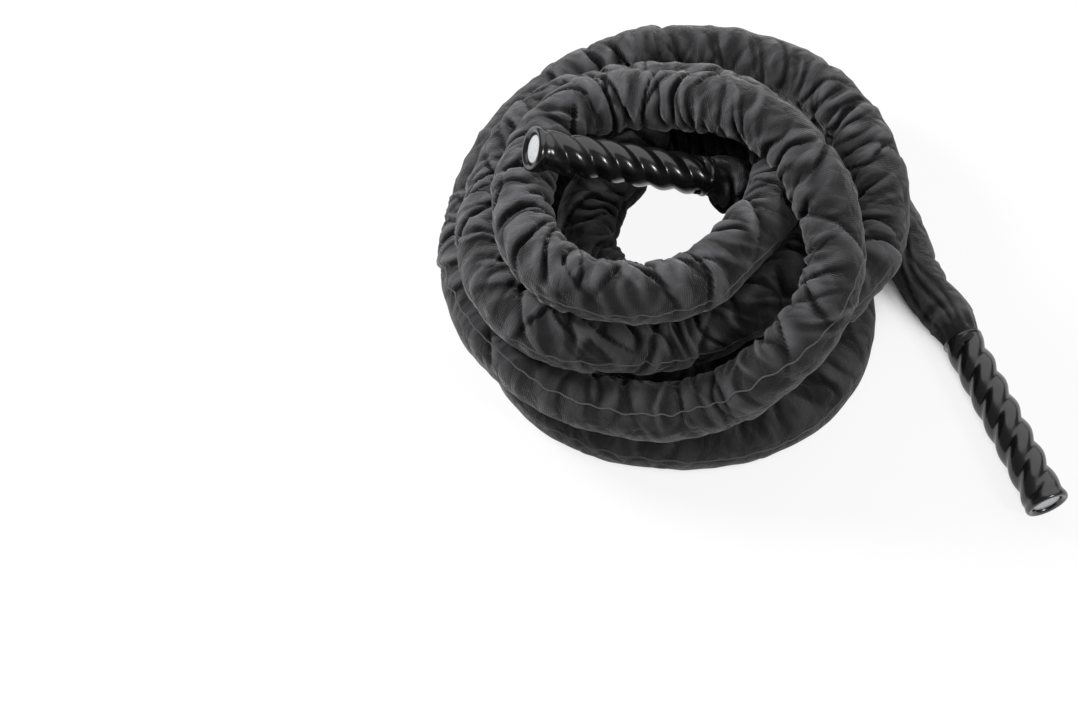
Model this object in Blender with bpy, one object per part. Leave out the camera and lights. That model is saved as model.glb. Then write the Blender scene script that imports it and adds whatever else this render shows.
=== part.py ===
"""A battle rope lying in a loose coil, with one end on top of the coil and the other on the floor.

A thick three-strand rope runs inside a gathered fabric sleeve. Each end of the rope is a hand grip:
a heat-shrunk tube over the three strands, with a rolled lip and a disc in its end. Metres, +Z up.
The rope's route is worked out first, and every piece is then built along it.
"""

import math

import bmesh
import bpy
import numpy as np
from mathutils import Matrix, Vector

# Cord sizes
ROPE_DIAMETER = 0.050
SLEEVE_DIAMETER = 0.076
FIT_GAP = 0.0003
TURN_GAP = 0.0036
STRAND_LAY = 0.112

# Hand grip sizes, from its root to its rolled end
GRIP_LENGTH = 0.262
GRIP_WALL = 0.0018
SKIRT_LENGTH = 0.016
RIDGE_BLEND = 0.018
RIDGE_HEIGHT = 0.0019
SHRINK_GAP = 0.0013
LIP_DIAMETER = 0.060
LIP_LENGTH = 0.012
LIP_OPENING = 0.040
DISC_RECESS = 0.004
DISC_THICKNESS = 0.003
TAPE_LENGTH = 0.016
TAPE_THICKNESS = 0.0006

# Sleeve end sizes
NECK_WALL = 0.0012
NECK_LENGTH = 0.014
NECK_TAPER = 0.046

# How the rope lies: least bend radius over a hump, steepest slope, share of its diameter pressed flat
HUMP_RADIUS = 0.178
STEEPEST_SLOPE = 0.75
FLAT_SHARE = 0.1

# Distance from the coil's axis to the rope's centre at each eighth of a turn: at the right, then
# round by the far side, the left and the near side. The first row lies on the floor.
TURN_REACHES = (
    (0.318, 0.316, 0.290, 0.242, 0.201, 0.274, 0.284, 0.289),
    (0.236, 0.216, 0.195, 0.139, 0.120, 0.129, 0.200, 0.218),
    (0.288, 0.317, 0.305, 0.284, 0.285, 0.289, 0.279, 0.270),
    (0.174, 0.126, 0.130, 0.177, 0.197, 0.211, 0.168, 0.128),
    (0.142, 0.180, 0.192, 0.232, 0.248, 0.262, 0.194, 0.189),
    (0.216, 0.194, 0.148, 0.127, 0.121, 0.120, 0.110, 0.110),
)
FIRST_TURN = 0.06
LAST_TURN = 5.8
# From this turn on the rope was laid in the other order, from its top end down
TOP_LAID_FROM_TURN = 2.8

# Hand-chosen points of the stretches that aren't coiled, and the grips' roots and directions
TAIL_ROUTE = ((0.373, -0.078), (0.343, -0.022))
TOP_ROUTE = ((0.149, -0.052, 0.107), (0.147, 0.000, 0.107), (0.114, 0.038, 0.123))
GRIP_B_ROOT = (0.400, -0.132)
GRIP_B_TOWARDS = (0.495, -0.383)
GRIP_A_ROOT = (0.045, 0.047, 0.170)
GRIP_A_TOWARDS = (-0.180, 0.010)

# Detail of the meshes
ROUTE_STEPS = 96
SOLVER_STEPS = 450
SETTLING_ROUNDS = 8
LOOP_STEPS = 24
LEAD_STEPS = 2
LOOP_SIDES = 6
STRETCH_STEP = 0.026
TAPER_STEPS = 3
STRETCH_SIDES = 8
GRIP_SIDES = 15
STRAND_SIDES = 6
STRAND_STEPS = 19
STRANDS = 3
SHARP_ANGLE = 0.7

ROPE_RADIUS = ROPE_DIAMETER / 2
SLEEVE_RADIUS = SLEEVE_DIAMETER / 2
TURN_SPACING = SLEEVE_DIAMETER + TURN_GAP
LYING_HEIGHT = SLEEVE_RADIUS - FLAT_SHARE * SLEEVE_DIAMETER
UP = np.array((0.0, 0.0, 1.0))


def clear_scene():
    for old in list(bpy.data.objects):
        bpy.data.objects.remove(old, do_unlink=True)


def unit(vector):
    return vector / np.linalg.norm(vector)


def cubic(p0, p1, p2, p3, share):
    """The point a share of the way from p1 to p2 on a smooth curve through all four."""
    rise = p2 - p0
    sag = 2 * p0 - 5 * p1 + 4 * p2 - p3
    turn = 3 * p1 - p0 - 3 * p2 + p3
    return p1 + (rise * share + sag * share**2 + turn * share**3) / 2


def smooth_through(points, start_way, end_way):
    """A smooth curve through points that leaves and arrives along the given directions."""
    before = points[1] - 2 * start_way * np.linalg.norm(points[1] - points[0])
    after = points[-2] + 2 * end_way * np.linalg.norm(points[-1] - points[-2])
    padded = [before, *points, after]
    curve = []
    for first in range(len(points) - 1):
        around = padded[first : first + 4]
        curve += [cubic(*around, step / ROUTE_STEPS) for step in range(ROUTE_STEPS)]
    return np.array(curve + [points[-1]])


def lengths_along(points):
    steps = np.linalg.norm(np.diff(points, axis=0), axis=1)
    return np.concatenate(((0.0,), np.cumsum(steps)))


def read_at(values, along, distances):
    """Rows of values that belong to distances along a line, read between its points."""
    columns = [np.interp(distances, along, values[:, column]) for column in range(values.shape[1])]
    return np.column_stack(columns)


def coil_plan():
    """The coil's centre line seen from above, with each point's count of turns."""
    reaches = [reach for turn in TURN_REACHES for reach in turn]
    per_turn = len(TURN_REACHES[0])
    count = round((LAST_TURN - FIRST_TURN) * ROUTE_STEPS)
    rows = []
    for turns in np.linspace(FIRST_TURN, LAST_TURN, count + 1):
        first = int(turns * per_turn)
        around = [reaches[min(max(first + offset, 0), len(reaches) - 1)] for offset in (-1, 0, 1, 2)]
        reach = cubic(*around, turns * per_turn - first)
        angle = 2 * math.pi * turns
        rows.append((reach * math.cos(angle), reach * math.sin(angle), turns))
    return np.array(rows)


def tail_plan(coil_start, coil_way):
    """The floor stretch from grip B's root to the straight run that leads into the coil."""
    root = np.array(GRIP_B_ROOT)
    grip_way = unit(np.array(GRIP_B_TOWARDS) - root)
    neck = root - grip_way * (NECK_LENGTH + NECK_TAPER) / 2
    lead_in = coil_start - coil_way * SLEEVE_DIAMETER
    points = [root, neck, *(np.array(point) for point in TAIL_ROUTE), lead_in]
    return smooth_through(points, -grip_way, coil_way)


def resting_heights(plan, turns):
    """The lowest heights at which each later-laid stretch rests on those below it.

    Where two centre lines come closer in plan than one spacing, one lies on the other. Over a hump
    the rope falls away on a parabola down to its steepest slope.
    """
    along = lengths_along(plan)
    apart = np.abs(along[:, None] - along[None])
    in_plan = np.linalg.norm(plan[:, None] - plan[None], axis=2)
    laid = np.where(turns < TOP_LAID_FROM_TURN, turns, 2 * TOP_LAID_FROM_TURN + LAST_TURN - turns)
    crossing = (laid[:, None] > laid[None]) & (apart > 2 * TURN_SPACING) & (in_plan < TURN_SPACING)
    lift = np.where(crossing, np.sqrt(np.maximum(TURN_SPACING**2 - in_plan**2, 0.0)), -np.inf)
    bend = STEEPEST_SLOPE * HUMP_RADIUS
    fall = np.where(apart > bend, STEEPEST_SLOPE * (apart - bend / 2), apart**2 / (2 * HUMP_RADIUS))
    sag = along[1] ** 2 / (2 * HUMP_RADIUS)
    heights = np.full(len(plan), LYING_HEIGHT)
    for _ in range(SETTLING_ROUNDS):
        held = np.maximum(LYING_HEIGHT, (heights[None] + lift).max(axis=1))
        held[-1] = max(held[-1], TOP_ROUTE[0][2])
        heights = (held[None] - fall).max(axis=1)
        for _ in range(ROUTE_STEPS):
            middle = (heights[2:] + heights[:-2]) / 2 - sag
            heights[1:-1] = np.maximum(heights[1:-1], middle)
    return heights


def floor_and_coil():
    """The tail and the coil as one line, and how far along it the coil starts."""
    coil = coil_plan()
    coil_way = unit(coil[1, :2] - coil[0, :2])
    tail = tail_plan(coil[0, :2], coil_way)
    tail_turns = np.full((len(tail), 1), FIRST_TURN)
    rows = np.vstack((np.hstack((tail, tail_turns)), coil))
    along = lengths_along(rows[:, :2])
    even = np.linspace(0.0, along[-1], SOLVER_STEPS + 1)
    spread = read_at(rows, along, even)
    heights = resting_heights(spread[:, :2], spread[:, 2])
    line = np.column_stack((rows[:, :2], np.interp(along, even, heights)))
    return line, len(tail) - 1


def grip_a_towards(lying):
    """The place of grip A's rolled end, with the grip lying as low on the coil as it can."""
    root = np.array(GRIP_A_ROOT)
    run = np.array(GRIP_A_TOWARDS) - root[:2]
    reach = np.linalg.norm(run)
    onward = (lying[:, :2] - root[:2]) @ run / reach
    across = (lying[:, :2] - root[:2]) @ np.array((-run[1], run[0])) / reach
    beyond = np.maximum(onward - reach, 0.0)
    apart = SLEEVE_RADIUS + LIP_DIAMETER / 2 + TURN_GAP
    under = (np.hypot(across, beyond) < apart) & (onward > apart)
    clear = np.sqrt(apart**2 - across[under] ** 2 - beyond[under] ** 2)
    slope = 0.0
    for _ in range(SETTLING_ROUNDS):
        tilted = np.where(beyond[under] > 0, clear, clear * math.hypot(1.0, slope))
        slopes = (lying[under, 2] + tilted - root[2]) / np.minimum(onward[under], reach)
        slope = slopes.max()
    return np.array((*GRIP_A_TOWARDS, root[2] + slope * reach))


def top_end_line(coil_end, coil_way, towards):
    """The stretch from the coil's end up to grip A's root."""
    root = np.array(GRIP_A_ROOT)
    grip_way = unit(towards - root)
    lead_out = coil_end + coil_way * SLEEVE_DIAMETER
    neck = root - grip_way * (NECK_LENGTH + NECK_TAPER) / 2
    points = [lead_out, *(np.array(point) for point in TOP_ROUTE), neck, root]
    return smooth_through(points, coil_way, grip_way)


def tucked(point, way):
    """The last point of a sleeve neck, inside the grip whose root is at point."""
    return point + way * NECK_LENGTH


def whole_route(lying, coil_first, towards):
    """The centre line between the grips with its necks, and where the coil's node starts and ends."""
    coil_way = unit(lying[-1] - lying[-3])
    top = top_end_line(lying[-1], coil_way, towards)
    start = tucked(lying[0], unit(lying[0] - lying[1]))
    end = tucked(top[-1], unit(top[-1] - top[-2]))
    route = np.vstack((start, lying, top, end))
    along = lengths_along(route)
    coil_from = along[coil_first + 1] - SLEEVE_DIAMETER
    coil_to = along[len(lying)] + SLEEVE_DIAMETER
    return route, along, coil_from, coil_to


def ease(share):
    """A share of a change that starts and ends gently."""
    share = min(max(share, 0.0), 1.0)
    return share * share * (3 - 2 * share)


def frames_at(route, along, distances):
    """Centre, sideways and upward directions of the route at each distance."""
    centres = read_at(route, along, distances)
    ahead = read_at(route, along, np.minimum(np.array(distances) + FIT_GAP, along[-1]))
    behind = read_at(route, along, np.maximum(np.array(distances) - FIT_GAP, 0.0))
    frames = []
    for centre, way in zip(centres, ahead - behind):
        side = unit(np.cross(UP, way))
        frames.append((centre, side, unit(np.cross(way, side))))
    return frames


def flat_bottomed_ring(frame, radius, sides):
    """Corners of a many-sided section with one side down, cut flat where it meets the floor."""
    centre, side, top = frame
    ring = []
    for corner in range(sides):
        angle = 2 * math.pi * (corner + 0.5) / sides - math.pi / 2
        point = centre + radius * (math.cos(angle) * side + math.sin(angle) * top)
        ring.append((point[0], point[1], max(point[2], 0.0)))
    return ring


def skin(name, outer_rings, bore_rings, material):
    """A closed skin over rings of corners. Without a bore, the first and last ring are capped."""
    mesh_builder = bmesh.new()
    outer = [[mesh_builder.verts.new(point) for point in ring] for ring in outer_rings]
    bore = [[mesh_builder.verts.new(point) for point in ring] for ring in bore_rings]
    count = len(outer[0])
    pairs = list(zip(outer, outer[1:])) + list(zip(bore, bore[1:]))
    if bore:
        pairs += [(outer[0], bore[0]), (outer[-1], bore[-1])]
    else:
        mesh_builder.faces.new(outer[0])
        mesh_builder.faces.new(outer[-1])
    for first, second in pairs:
        for here in range(count):
            there = (here + 1) % count
            mesh_builder.faces.new((first[here], first[there], second[there]))
            mesh_builder.faces.new((first[here], second[there], second[here]))
    bmesh.ops.recalc_face_normals(mesh_builder, faces=mesh_builder.faces)
    mesh = bpy.data.meshes.new(name)
    mesh_builder.to_mesh(mesh)
    mesh_builder.free()
    mesh.shade_smooth()
    mesh.set_sharp_from_angle(angle=SHARP_ANGLE)
    mesh.materials.append(material)
    return add_object(name, mesh)


def add_object(name, mesh):
    added = bpy.data.objects.new(name, mesh)
    bpy.context.collection.objects.link(added)
    return added


def make_material(name, colour, roughness, metallic=0.0):
    material = bpy.data.materials.new(name)
    material.use_nodes = True
    shader = material.node_tree.nodes["Principled BSDF"]
    shader.inputs["Base Color"].default_value = (*colour, 1.0)
    shader.inputs["Roughness"].default_value = roughness
    shader.inputs["Metallic"].default_value = metallic
    return material


def outward(flat_radius, sides):
    """Corner radius of a many-sided section whose flat sides lie at flat_radius."""
    return flat_radius / math.cos(math.pi / sides)


def bore_corners(sides):
    """Corner radius of the sleeve's bore round the rope, whose corners lie at its radius."""
    return ROPE_RADIUS + outward(FIT_GAP, sides)


def neck_corners():
    """Corner radius of the sleeve's thin end under a grip's skirt."""
    return bore_corners(STRETCH_SIDES) + outward(NECK_WALL, STRETCH_SIDES)


def sleeve_radii(from_neck):
    """Outer radius of the sleeve at each distance from the inner end of its neck."""
    spread = [ease((distance - NECK_LENGTH) / NECK_TAPER) for distance in from_neck]
    return [neck_corners() + (SLEEVE_RADIUS - neck_corners()) * share for share in spread]


def stretch_stations(length):
    """Distances from the neck's inner end: close together on the neck, then even."""
    neck = [0.0, NECK_LENGTH]
    taper = [NECK_LENGTH + NECK_TAPER * step / TAPER_STEPS for step in range(1, TAPER_STEPS)]
    count = math.ceil((length - NECK_LENGTH - NECK_TAPER) / STRETCH_STEP)
    even = np.linspace(NECK_LENGTH + NECK_TAPER, length, count + 1)
    return np.array([*neck, *taper, *even])


def make_sleeve(name, frames, radii, sides, material):
    """A length of sleeve: its outer side over the frames, and its bore back again."""
    outer = [flat_bottomed_ring(frame, radius, sides) for frame, radius in zip(frames, radii)]
    bore = [flat_bottomed_ring(frame, bore_corners(sides), sides) for frame in frames]
    return skin(name, outer, bore, material)


def make_core(name, frames, sides, material):
    rings = [flat_bottomed_ring(frame, ROPE_RADIUS, sides) for frame in frames]
    return skin(name, rings, [], material)


def make_free_stretch(end_name, frames, radii, fabric, rope):
    """The sleeve and the rope between the coil and one grip."""
    make_sleeve("sleeve_" + end_name, frames, radii, STRETCH_SIDES, fabric)
    make_core("rope_core_" + end_name, frames, STRETCH_SIDES, rope)


def make_sleeved_rope(whole, fabric, rope):
    """The coil and its two free stretches, which meet the coil's ends face to face."""
    route, along, coil_from, coil_to = whole
    loops = LAST_TURN - FIRST_TURN
    count = round(loops * LOOP_STEPS) + LEAD_STEPS
    coil = frames_at(route, along, np.linspace(coil_from, coil_to, count + 1))
    make_sleeve("sleeve_coil", coil, [SLEEVE_RADIUS] * len(coil), LOOP_SIDES, fabric)
    make_core("rope_core_coil", coil, LOOP_SIDES, rope)
    tail_stations = stretch_stations(coil_from - FIT_GAP)
    tail = frames_at(route, along, tail_stations)
    make_free_stretch("tail", tail, sleeve_radii(tail_stations), fabric, rope)
    top_stations = stretch_stations(along[-1] - coil_to - FIT_GAP)
    top = frames_at(route, along, along[-1] - top_stations)
    make_free_stretch("top_end", top, sleeve_radii(top_stations), fabric, rope)
    grips = GRIP_LENGTH - NECK_LENGTH
    print("rope length", round(along[-1] + 2 * grips, 3), "m")
    report_least_gap(coil)


def report_least_gap(frames):
    """Prints the least gap between turns of the coil, from one spacing and a half apart on."""
    centres = np.array([frame[0] for frame in frames])
    finer = read_at(centres, lengths_along(centres), np.arange(0.0, lengths_along(centres)[-1], ROPE_RADIUS))
    skip = math.ceil(2 * TURN_SPACING / ROPE_RADIUS)
    gaps = [
        np.linalg.norm(finer[here + skip :] - point, axis=1).min() - SLEEVE_DIAMETER
        for here, point in enumerate(finer[:-skip])
    ]
    print("least gap between turns", round(min(gaps) * 1000, 2), "mm")


def strand_helix():
    """Radius of the circle that the strands' centres follow, and the strands' own radius."""
    circle = ROPE_RADIUS / 2
    for _ in range(SETTLING_ROUNDS * STRANDS):
        strand = least_strand_spacing(circle) / 2 - FIT_GAP
        circle = ROPE_RADIUS - strand
    return circle, strand


def least_strand_spacing(circle):
    """Least distance between two neighbouring strands' centre lines."""
    phases = np.linspace(-math.pi, math.pi, ROUTE_STEPS + 1)
    across = 2 * circle * np.abs(np.sin((phases + 2 * math.pi / STRANDS) / 2))
    lengthwise = STRAND_LAY * phases / (2 * math.pi)
    return np.hypot(across, lengthwise).min()


def local_ring(height, radii):
    """Corners round the local Z axis, one for each radius."""
    count = len(radii)
    ring = []
    for corner, radius in enumerate(radii):
        angle = 2 * math.pi * corner / count
        ring.append((radius * math.cos(angle), radius * math.sin(angle), height))
    return ring


def tape_corners():
    """Corner radii of the tape that binds the strands' cut ends: its bore and its outside."""
    bore = outward(ROPE_RADIUS + FIT_GAP, GRIP_SIDES)
    return bore, bore + outward(TAPE_THICKNESS, GRIP_SIDES)


def disc_back():
    """Distance of the end disc's back from the grip's root."""
    return GRIP_LENGTH - DISC_RECESS - DISC_THICKNESS


def grip_bore_radii(height):
    """The grip's inner radii at one height: round at both ends, with three ridges between."""
    skirt = outward(neck_corners() + FIT_GAP, GRIP_SIDES)
    ridged = outward(ROPE_RADIUS + SHRINK_GAP, GRIP_SIDES) - RIDGE_HEIGHT
    taped = outward(tape_corners()[1] + FIT_GAP, GRIP_SIDES)
    from_skirt = ease((height - SKIRT_LENGTH) / RIDGE_BLEND)
    to_tape = ease((disc_back() - TAPE_LENGTH - height) / RIDGE_BLEND)
    mean = skirt * (1 - from_skirt) + taped * (1 - to_tape) + ridged * (from_skirt + to_tape - 1)
    ridge = RIDGE_HEIGHT * from_skirt * to_tape
    twist = 2 * math.pi * height / STRAND_LAY
    angles = [2 * math.pi * corner / GRIP_SIDES for corner in range(GRIP_SIDES)]
    return [mean + ridge * math.cos(STRANDS * (angle - twist)) for angle in angles]


def make_grip_mesh(material):
    """The shrunk tube along local Z: outer side with its lip, then the bore back to the root."""
    steps = int((disc_back() - FIT_GAP) * GRIP_SIDES / STRAND_LAY)
    heights = [STRAND_LAY * step / GRIP_SIDES for step in range(steps + 1)]
    bores = [grip_bore_radii(height) for height in heights]
    wall = [height for height in heights if height < GRIP_LENGTH - LIP_LENGTH]
    outer = [local_ring(h, [r + GRIP_WALL for r in bore]) for h, bore in zip(wall, bores)]
    lip = LIP_DIAMETER / 2
    rounding = GRIP_WALL
    rim = [
        local_ring(GRIP_LENGTH - LIP_LENGTH / 2, [lip] * GRIP_SIDES),
        local_ring(GRIP_LENGTH - rounding, [lip] * GRIP_SIDES),
        local_ring(GRIP_LENGTH, [lip - rounding] * GRIP_SIDES),
    ]
    inner = [local_ring(height, bore) for height, bore in zip(heights, bores)]
    mouth = [
        local_ring(disc_back(), grip_bore_radii(disc_back())),
        local_ring(disc_back(), [LIP_OPENING / 2] * GRIP_SIDES),
        local_ring(GRIP_LENGTH, [LIP_OPENING / 2] * GRIP_SIDES),
    ]
    return skin("grip", outer + rim, inner + mouth, material)


def make_strand(name, start_angle, material):
    """One of the rope's three strands along local Z, from the plain rope's end to the disc."""
    circle, radius = strand_helix()
    heights = np.linspace(NECK_LENGTH + FIT_GAP, disc_back() - FIT_GAP, STRAND_STEPS + 1)
    slope = math.hypot(1.0, 2 * math.pi * circle / STRAND_LAY)
    rings = []
    for height in heights:
        angle = start_angle + 2 * math.pi * height / STRAND_LAY
        out = np.array((math.cos(angle), math.sin(angle), 0.0))
        across = np.array((-math.sin(angle), math.cos(angle), 0.0))
        corners = [2 * math.pi * corner / STRAND_SIDES for corner in range(STRAND_SIDES)]
        rings.append([
            circle * out + UP * height
            + radius * (math.cos(corner) * out + slope * math.sin(corner) * across)
            for corner in corners
        ])
    return skin(name, rings, [], material)


def make_tape(name, material):
    """The binding round the strands' cut ends, just behind the disc."""
    heights = (disc_back() - TAPE_LENGTH, disc_back() - FIT_GAP)
    bore, outside = tape_corners()
    outer_rings = [local_ring(height, [outside] * GRIP_SIDES) for height in heights]
    bore_rings = [local_ring(height, [bore] * GRIP_SIDES) for height in heights]
    return skin(name, outer_rings, bore_rings, material)


def make_disc(name, material):
    radius = LIP_OPENING / 2 - outward(FIT_GAP, GRIP_SIDES)
    heights = (disc_back(), disc_back() + DISC_THICKNESS)
    rings = [local_ring(height, [radius] * GRIP_SIDES) for height in heights]
    return skin(name, rings, [], material)


def stand_along(piece, root, way):
    """Places a piece made along local Z with its root at root and its far end towards way."""
    side = unit(np.cross(UP, way))
    top = np.cross(way, side)
    turned = Matrix([[side[i], top[i], way[i]] for i in range(len(way))])
    piece.matrix_world = Matrix.Translation(root) @ turned.to_4x4()


def make_handle(letter, root, towards, materials):
    """One hand grip with what it holds: three strands, the tape round their ends and the disc."""
    way = unit(towards - root)
    grip = make_grip_mesh(materials["grip"])
    grip.name = "grip_" + letter
    pieces = [grip]
    for strand in range(STRANDS):
        name = "strand_" + letter + "_" + str(strand + 1)
        pieces.append(make_strand(name, 2 * math.pi * strand / STRANDS, materials["rope"]))
    pieces.append(make_tape("end_tape_" + letter, materials["tape"]))
    pieces.append(make_disc("end_disc_" + letter, materials["disc"]))
    for piece in pieces:
        stand_along(piece, root, way)


def stand_on_origin():
    """Moves every object so that the middle of the whole one's underside is at the origin."""
    bpy.context.view_layer.update()
    corners = np.array([
        piece.matrix_world @ vertex.co for piece in bpy.data.objects for vertex in piece.data.vertices
    ])
    low = corners.min(axis=0)
    middle = (low + corners.max(axis=0)) / 2
    for piece in bpy.data.objects:
        piece.location = piece.location - Vector((middle[0], middle[1], low[2]))
    print("size", corners.max(axis=0) - low, "moved by", -middle[0], -middle[1], -low[2])


def main():
    clear_scene()
    materials = {
        "fabric": make_material("sleeve_fabric", (0.032, 0.032, 0.034), 0.9),
        "rope": make_material("rope_fibre", (0.045, 0.044, 0.042), 0.8),
        "grip": make_material("heat_shrink", (0.012, 0.012, 0.013), 0.22),
        "tape": make_material("binding_tape", (0.018, 0.018, 0.018), 0.5),
        "disc": make_material("end_disc_plastic", (0.42, 0.43, 0.44), 0.35),
    }
    lying, coil_first = floor_and_coil()
    grip_a_end = grip_a_towards(lying)
    make_sleeved_rope(whole_route(lying, coil_first, grip_a_end), materials["fabric"], materials["rope"])
    grip_b_root = np.array((*GRIP_B_ROOT, LYING_HEIGHT))
    grip_b_towards = np.array((*GRIP_B_TOWARDS, LYING_HEIGHT))
    make_handle("a", np.array(GRIP_A_ROOT), grip_a_end, materials)
    make_handle("b", grip_b_root, grip_b_towards, materials)
    stand_on_origin()


main()
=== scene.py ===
"""A battle rope in a loose coil: its gathered nylon sleeve, heat-shrunk grips and end discs.

The rope's route is worked out as in the part's source, in metres. The sleeve's folds, its sewn seam,
the grips and the discs are then built along that route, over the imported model.
"""

import math

import bmesh
import bpy
import numpy as np
from mathutils import Matrix, Vector
from mathutils.kdtree import KDTree

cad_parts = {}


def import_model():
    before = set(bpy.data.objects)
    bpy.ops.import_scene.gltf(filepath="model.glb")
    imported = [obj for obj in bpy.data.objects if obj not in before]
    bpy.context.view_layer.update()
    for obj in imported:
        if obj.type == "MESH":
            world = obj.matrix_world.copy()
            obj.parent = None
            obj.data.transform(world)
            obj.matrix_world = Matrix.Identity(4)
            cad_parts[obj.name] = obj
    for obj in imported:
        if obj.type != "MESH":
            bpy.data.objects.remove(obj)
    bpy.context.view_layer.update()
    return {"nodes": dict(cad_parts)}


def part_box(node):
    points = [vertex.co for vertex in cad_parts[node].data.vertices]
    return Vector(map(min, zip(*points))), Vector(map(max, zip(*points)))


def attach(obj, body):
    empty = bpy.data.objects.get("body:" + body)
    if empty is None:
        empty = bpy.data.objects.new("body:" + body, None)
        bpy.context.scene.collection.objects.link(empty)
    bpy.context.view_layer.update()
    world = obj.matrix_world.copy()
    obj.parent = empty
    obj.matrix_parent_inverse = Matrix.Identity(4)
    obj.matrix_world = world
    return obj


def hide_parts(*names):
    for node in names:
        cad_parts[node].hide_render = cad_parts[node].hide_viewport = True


# Cord sizes, as in the part's source
ROPE_DIAMETER = 0.050
SLEEVE_DIAMETER = 0.076
TURN_GAP = 0.0036
STRAND_LAY = 0.112
NECK_LENGTH = 0.014
NECK_TAPER = 0.046
HUMP_RADIUS = 0.178
STEEPEST_SLOPE = 0.75
FLAT_SHARE = 0.1

# The route, as in the part's source
TURN_REACHES = (
    (0.318, 0.316, 0.290, 0.242, 0.201, 0.274, 0.284, 0.289),
    (0.236, 0.216, 0.195, 0.139, 0.120, 0.129, 0.200, 0.218),
    (0.288, 0.317, 0.305, 0.284, 0.285, 0.289, 0.279, 0.270),
    (0.174, 0.126, 0.130, 0.177, 0.197, 0.211, 0.168, 0.128),
    (0.142, 0.180, 0.192, 0.232, 0.248, 0.262, 0.194, 0.189),
    (0.216, 0.194, 0.148, 0.127, 0.121, 0.120, 0.110, 0.110),
)
FIRST_TURN = 0.06
LAST_TURN = 5.8
TOP_LAID_FROM_TURN = 2.8
TAIL_ROUTE = ((0.373, -0.078), (0.343, -0.022))
TOP_ROUTE = ((0.149, -0.052, 0.107), (0.147, 0.000, 0.107), (0.114, 0.038, 0.123))
GRIP_B_ROOT = (0.400, -0.132)
GRIP_B_TOWARDS = (0.495, -0.383)
GRIP_A_ROOT = (0.045, 0.047, 0.170)
GRIP_A_TOWARDS = (-0.180, 0.010)
ROUTE_STEPS = 96
SOLVER_STEPS = 450
SETTLING_ROUNDS = 8

# Grip sizes
GRIP_LENGTH = 0.262
GRIP_RADIUS = 0.0264
GRIP_WALL = 0.0018
RIDGE_HEIGHT = 0.0025
ROOT_RADIUS = 0.0284
LIP_RADIUS = 0.0300
LIP_LENGTH = 0.012
DISC_RECESS = 0.004
DISC_THICKNESS = 0.003
DISC_RADIUS = 0.0184
STRANDS = 3
GRIP_SIDES = 72
GRIP_STEP = 0.0020

# Sleeve detail: the rings lie closer from the turn on where the sleeve is bunched up
LINE_STEP = 0.0030
LINE_SMOOTHING = 0.02
BEND_SMOOTHING = 0.04
COARSE_RING_STEP = 0.0048
FINE_RING_STEP = 0.0033
BUNCHED_FROM_TURN = 1.7
BUNCHING_TURNS = 0.2
TOP_END_TURNS = 0.4
RING_SIDES = 56
RELIEF_SIDES = 2
RELIEF_RINGS = 9

# The seam's welt and stitches, and the degrees by which it wanders and puckers, each over a length
WELT_RADIUS = 0.0011
STITCH_PITCH = 0.0050
STITCH_LENGTH = 0.0034
STITCH_THICKNESS = 0.0007
STITCH_RISE = 1.6 * WELT_RADIUS
SEAM_WANDER = 14
SEAM_WANDER_LENGTH = 0.35
SEAM_PUCKER = 7
SEAM_PUCKER_LENGTH = 0.020

# Folds: how far they go in and out from the plain radius, and for each kind how far it keeps from
# the sleeve's first and last end, and the least and largest gap from one to the next
FOLD_SEED = 7
DEEPEST_FOLD = 0.0135
HIGHEST_FOLD = 0.0042
GATHERS_FROM_ENDS = (0.03, 0.03)
GATHER_GAPS = (0.013, 0.031)
PINCHES_FROM_ENDS = (0.12, 0.06)
PINCH_GAPS = (0.030, 0.085)
TUCKS_FROM_ENDS = (0.10, 0.06)
TUCK_GAPS = (0.026, 0.062)

# Soft billows and sharp crests of the drawn cloth: height, length along the rope, count round it
BILLOW_HEIGHT = 0.0026
BILLOW_LENGTH = 0.070
BILLOWS_ROUND = 2
CREST_HEIGHT = 0.0022
CREST_LENGTH = 0.034
CRESTS_ROUND = 4

# The pleats in which the sleeve lies on the rope where the grips' tubes hold it
CLOTH_THICKNESS = 0.0012
PLEATS = 11
PLEAT_DEPTH = 0.0016
PLEAT_START = 0.02

# Tables by count of turns. How strongly the sleeve is gathered
GATHERED = (
    (0.0, 0.3), (1.0, 0.4), (1.8, 0.7), (2.1, 1.0), (2.3, 0.8), (2.5, 0.9),
    (2.7, 0.6), (2.9, 0.8), (3.1, 1.0), (3.3, 1.1), (3.5, 1.5), (3.7, 1.4),
    (3.9, 0.9), (4.3, 1.0), (4.5, 1.3), (4.8, 1.0), (5.8, 1.2), (6.3, 1.3),
)
# Where the cloth lies flatter: the share of the folds' height that is left
CALM = (
    (2.10, 1.0), (2.15, 0.35), (2.24, 0.35), (2.29, 1.0), (2.55, 1.0), (2.62, 0.55),
    (2.78, 0.55), (2.85, 1.0), (2.98, 1.0), (3.04, 0.6), (3.14, 0.6), (3.20, 1.0),
)
# How far the gathers slant
SLANTED = ((3.25, 0.0), (3.45, 0.40), (3.85, 0.35), (4.0, 0.0), (4.3, 0.3), (4.8, 0.2))
# The seam's angle round the sleeve in degrees: 90 is on top, 180 on the coil's outer side
SEAM_ANGLES = (
    (0.0, 160), (2.50, 150), (2.62, 118), (2.82, 122), (2.95, 150),
    (3.06, 148), (3.20, 108), (3.35, 150), (3.60, 165), (6.2, 160),
)

# On the floor stretch: how much slimmer it is, over what length that ends, and each long crease's
# angle in degrees, its turning round the rope in radians and its depth
TAIL_SLIMMER = 0.15
TAIL_SWELL_LENGTH = 0.25
TAIL_CREASES = ((62, 0.3, 0.0030), (98, -0.5, 0.0018), (20, 0.6, 0.0022))

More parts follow.
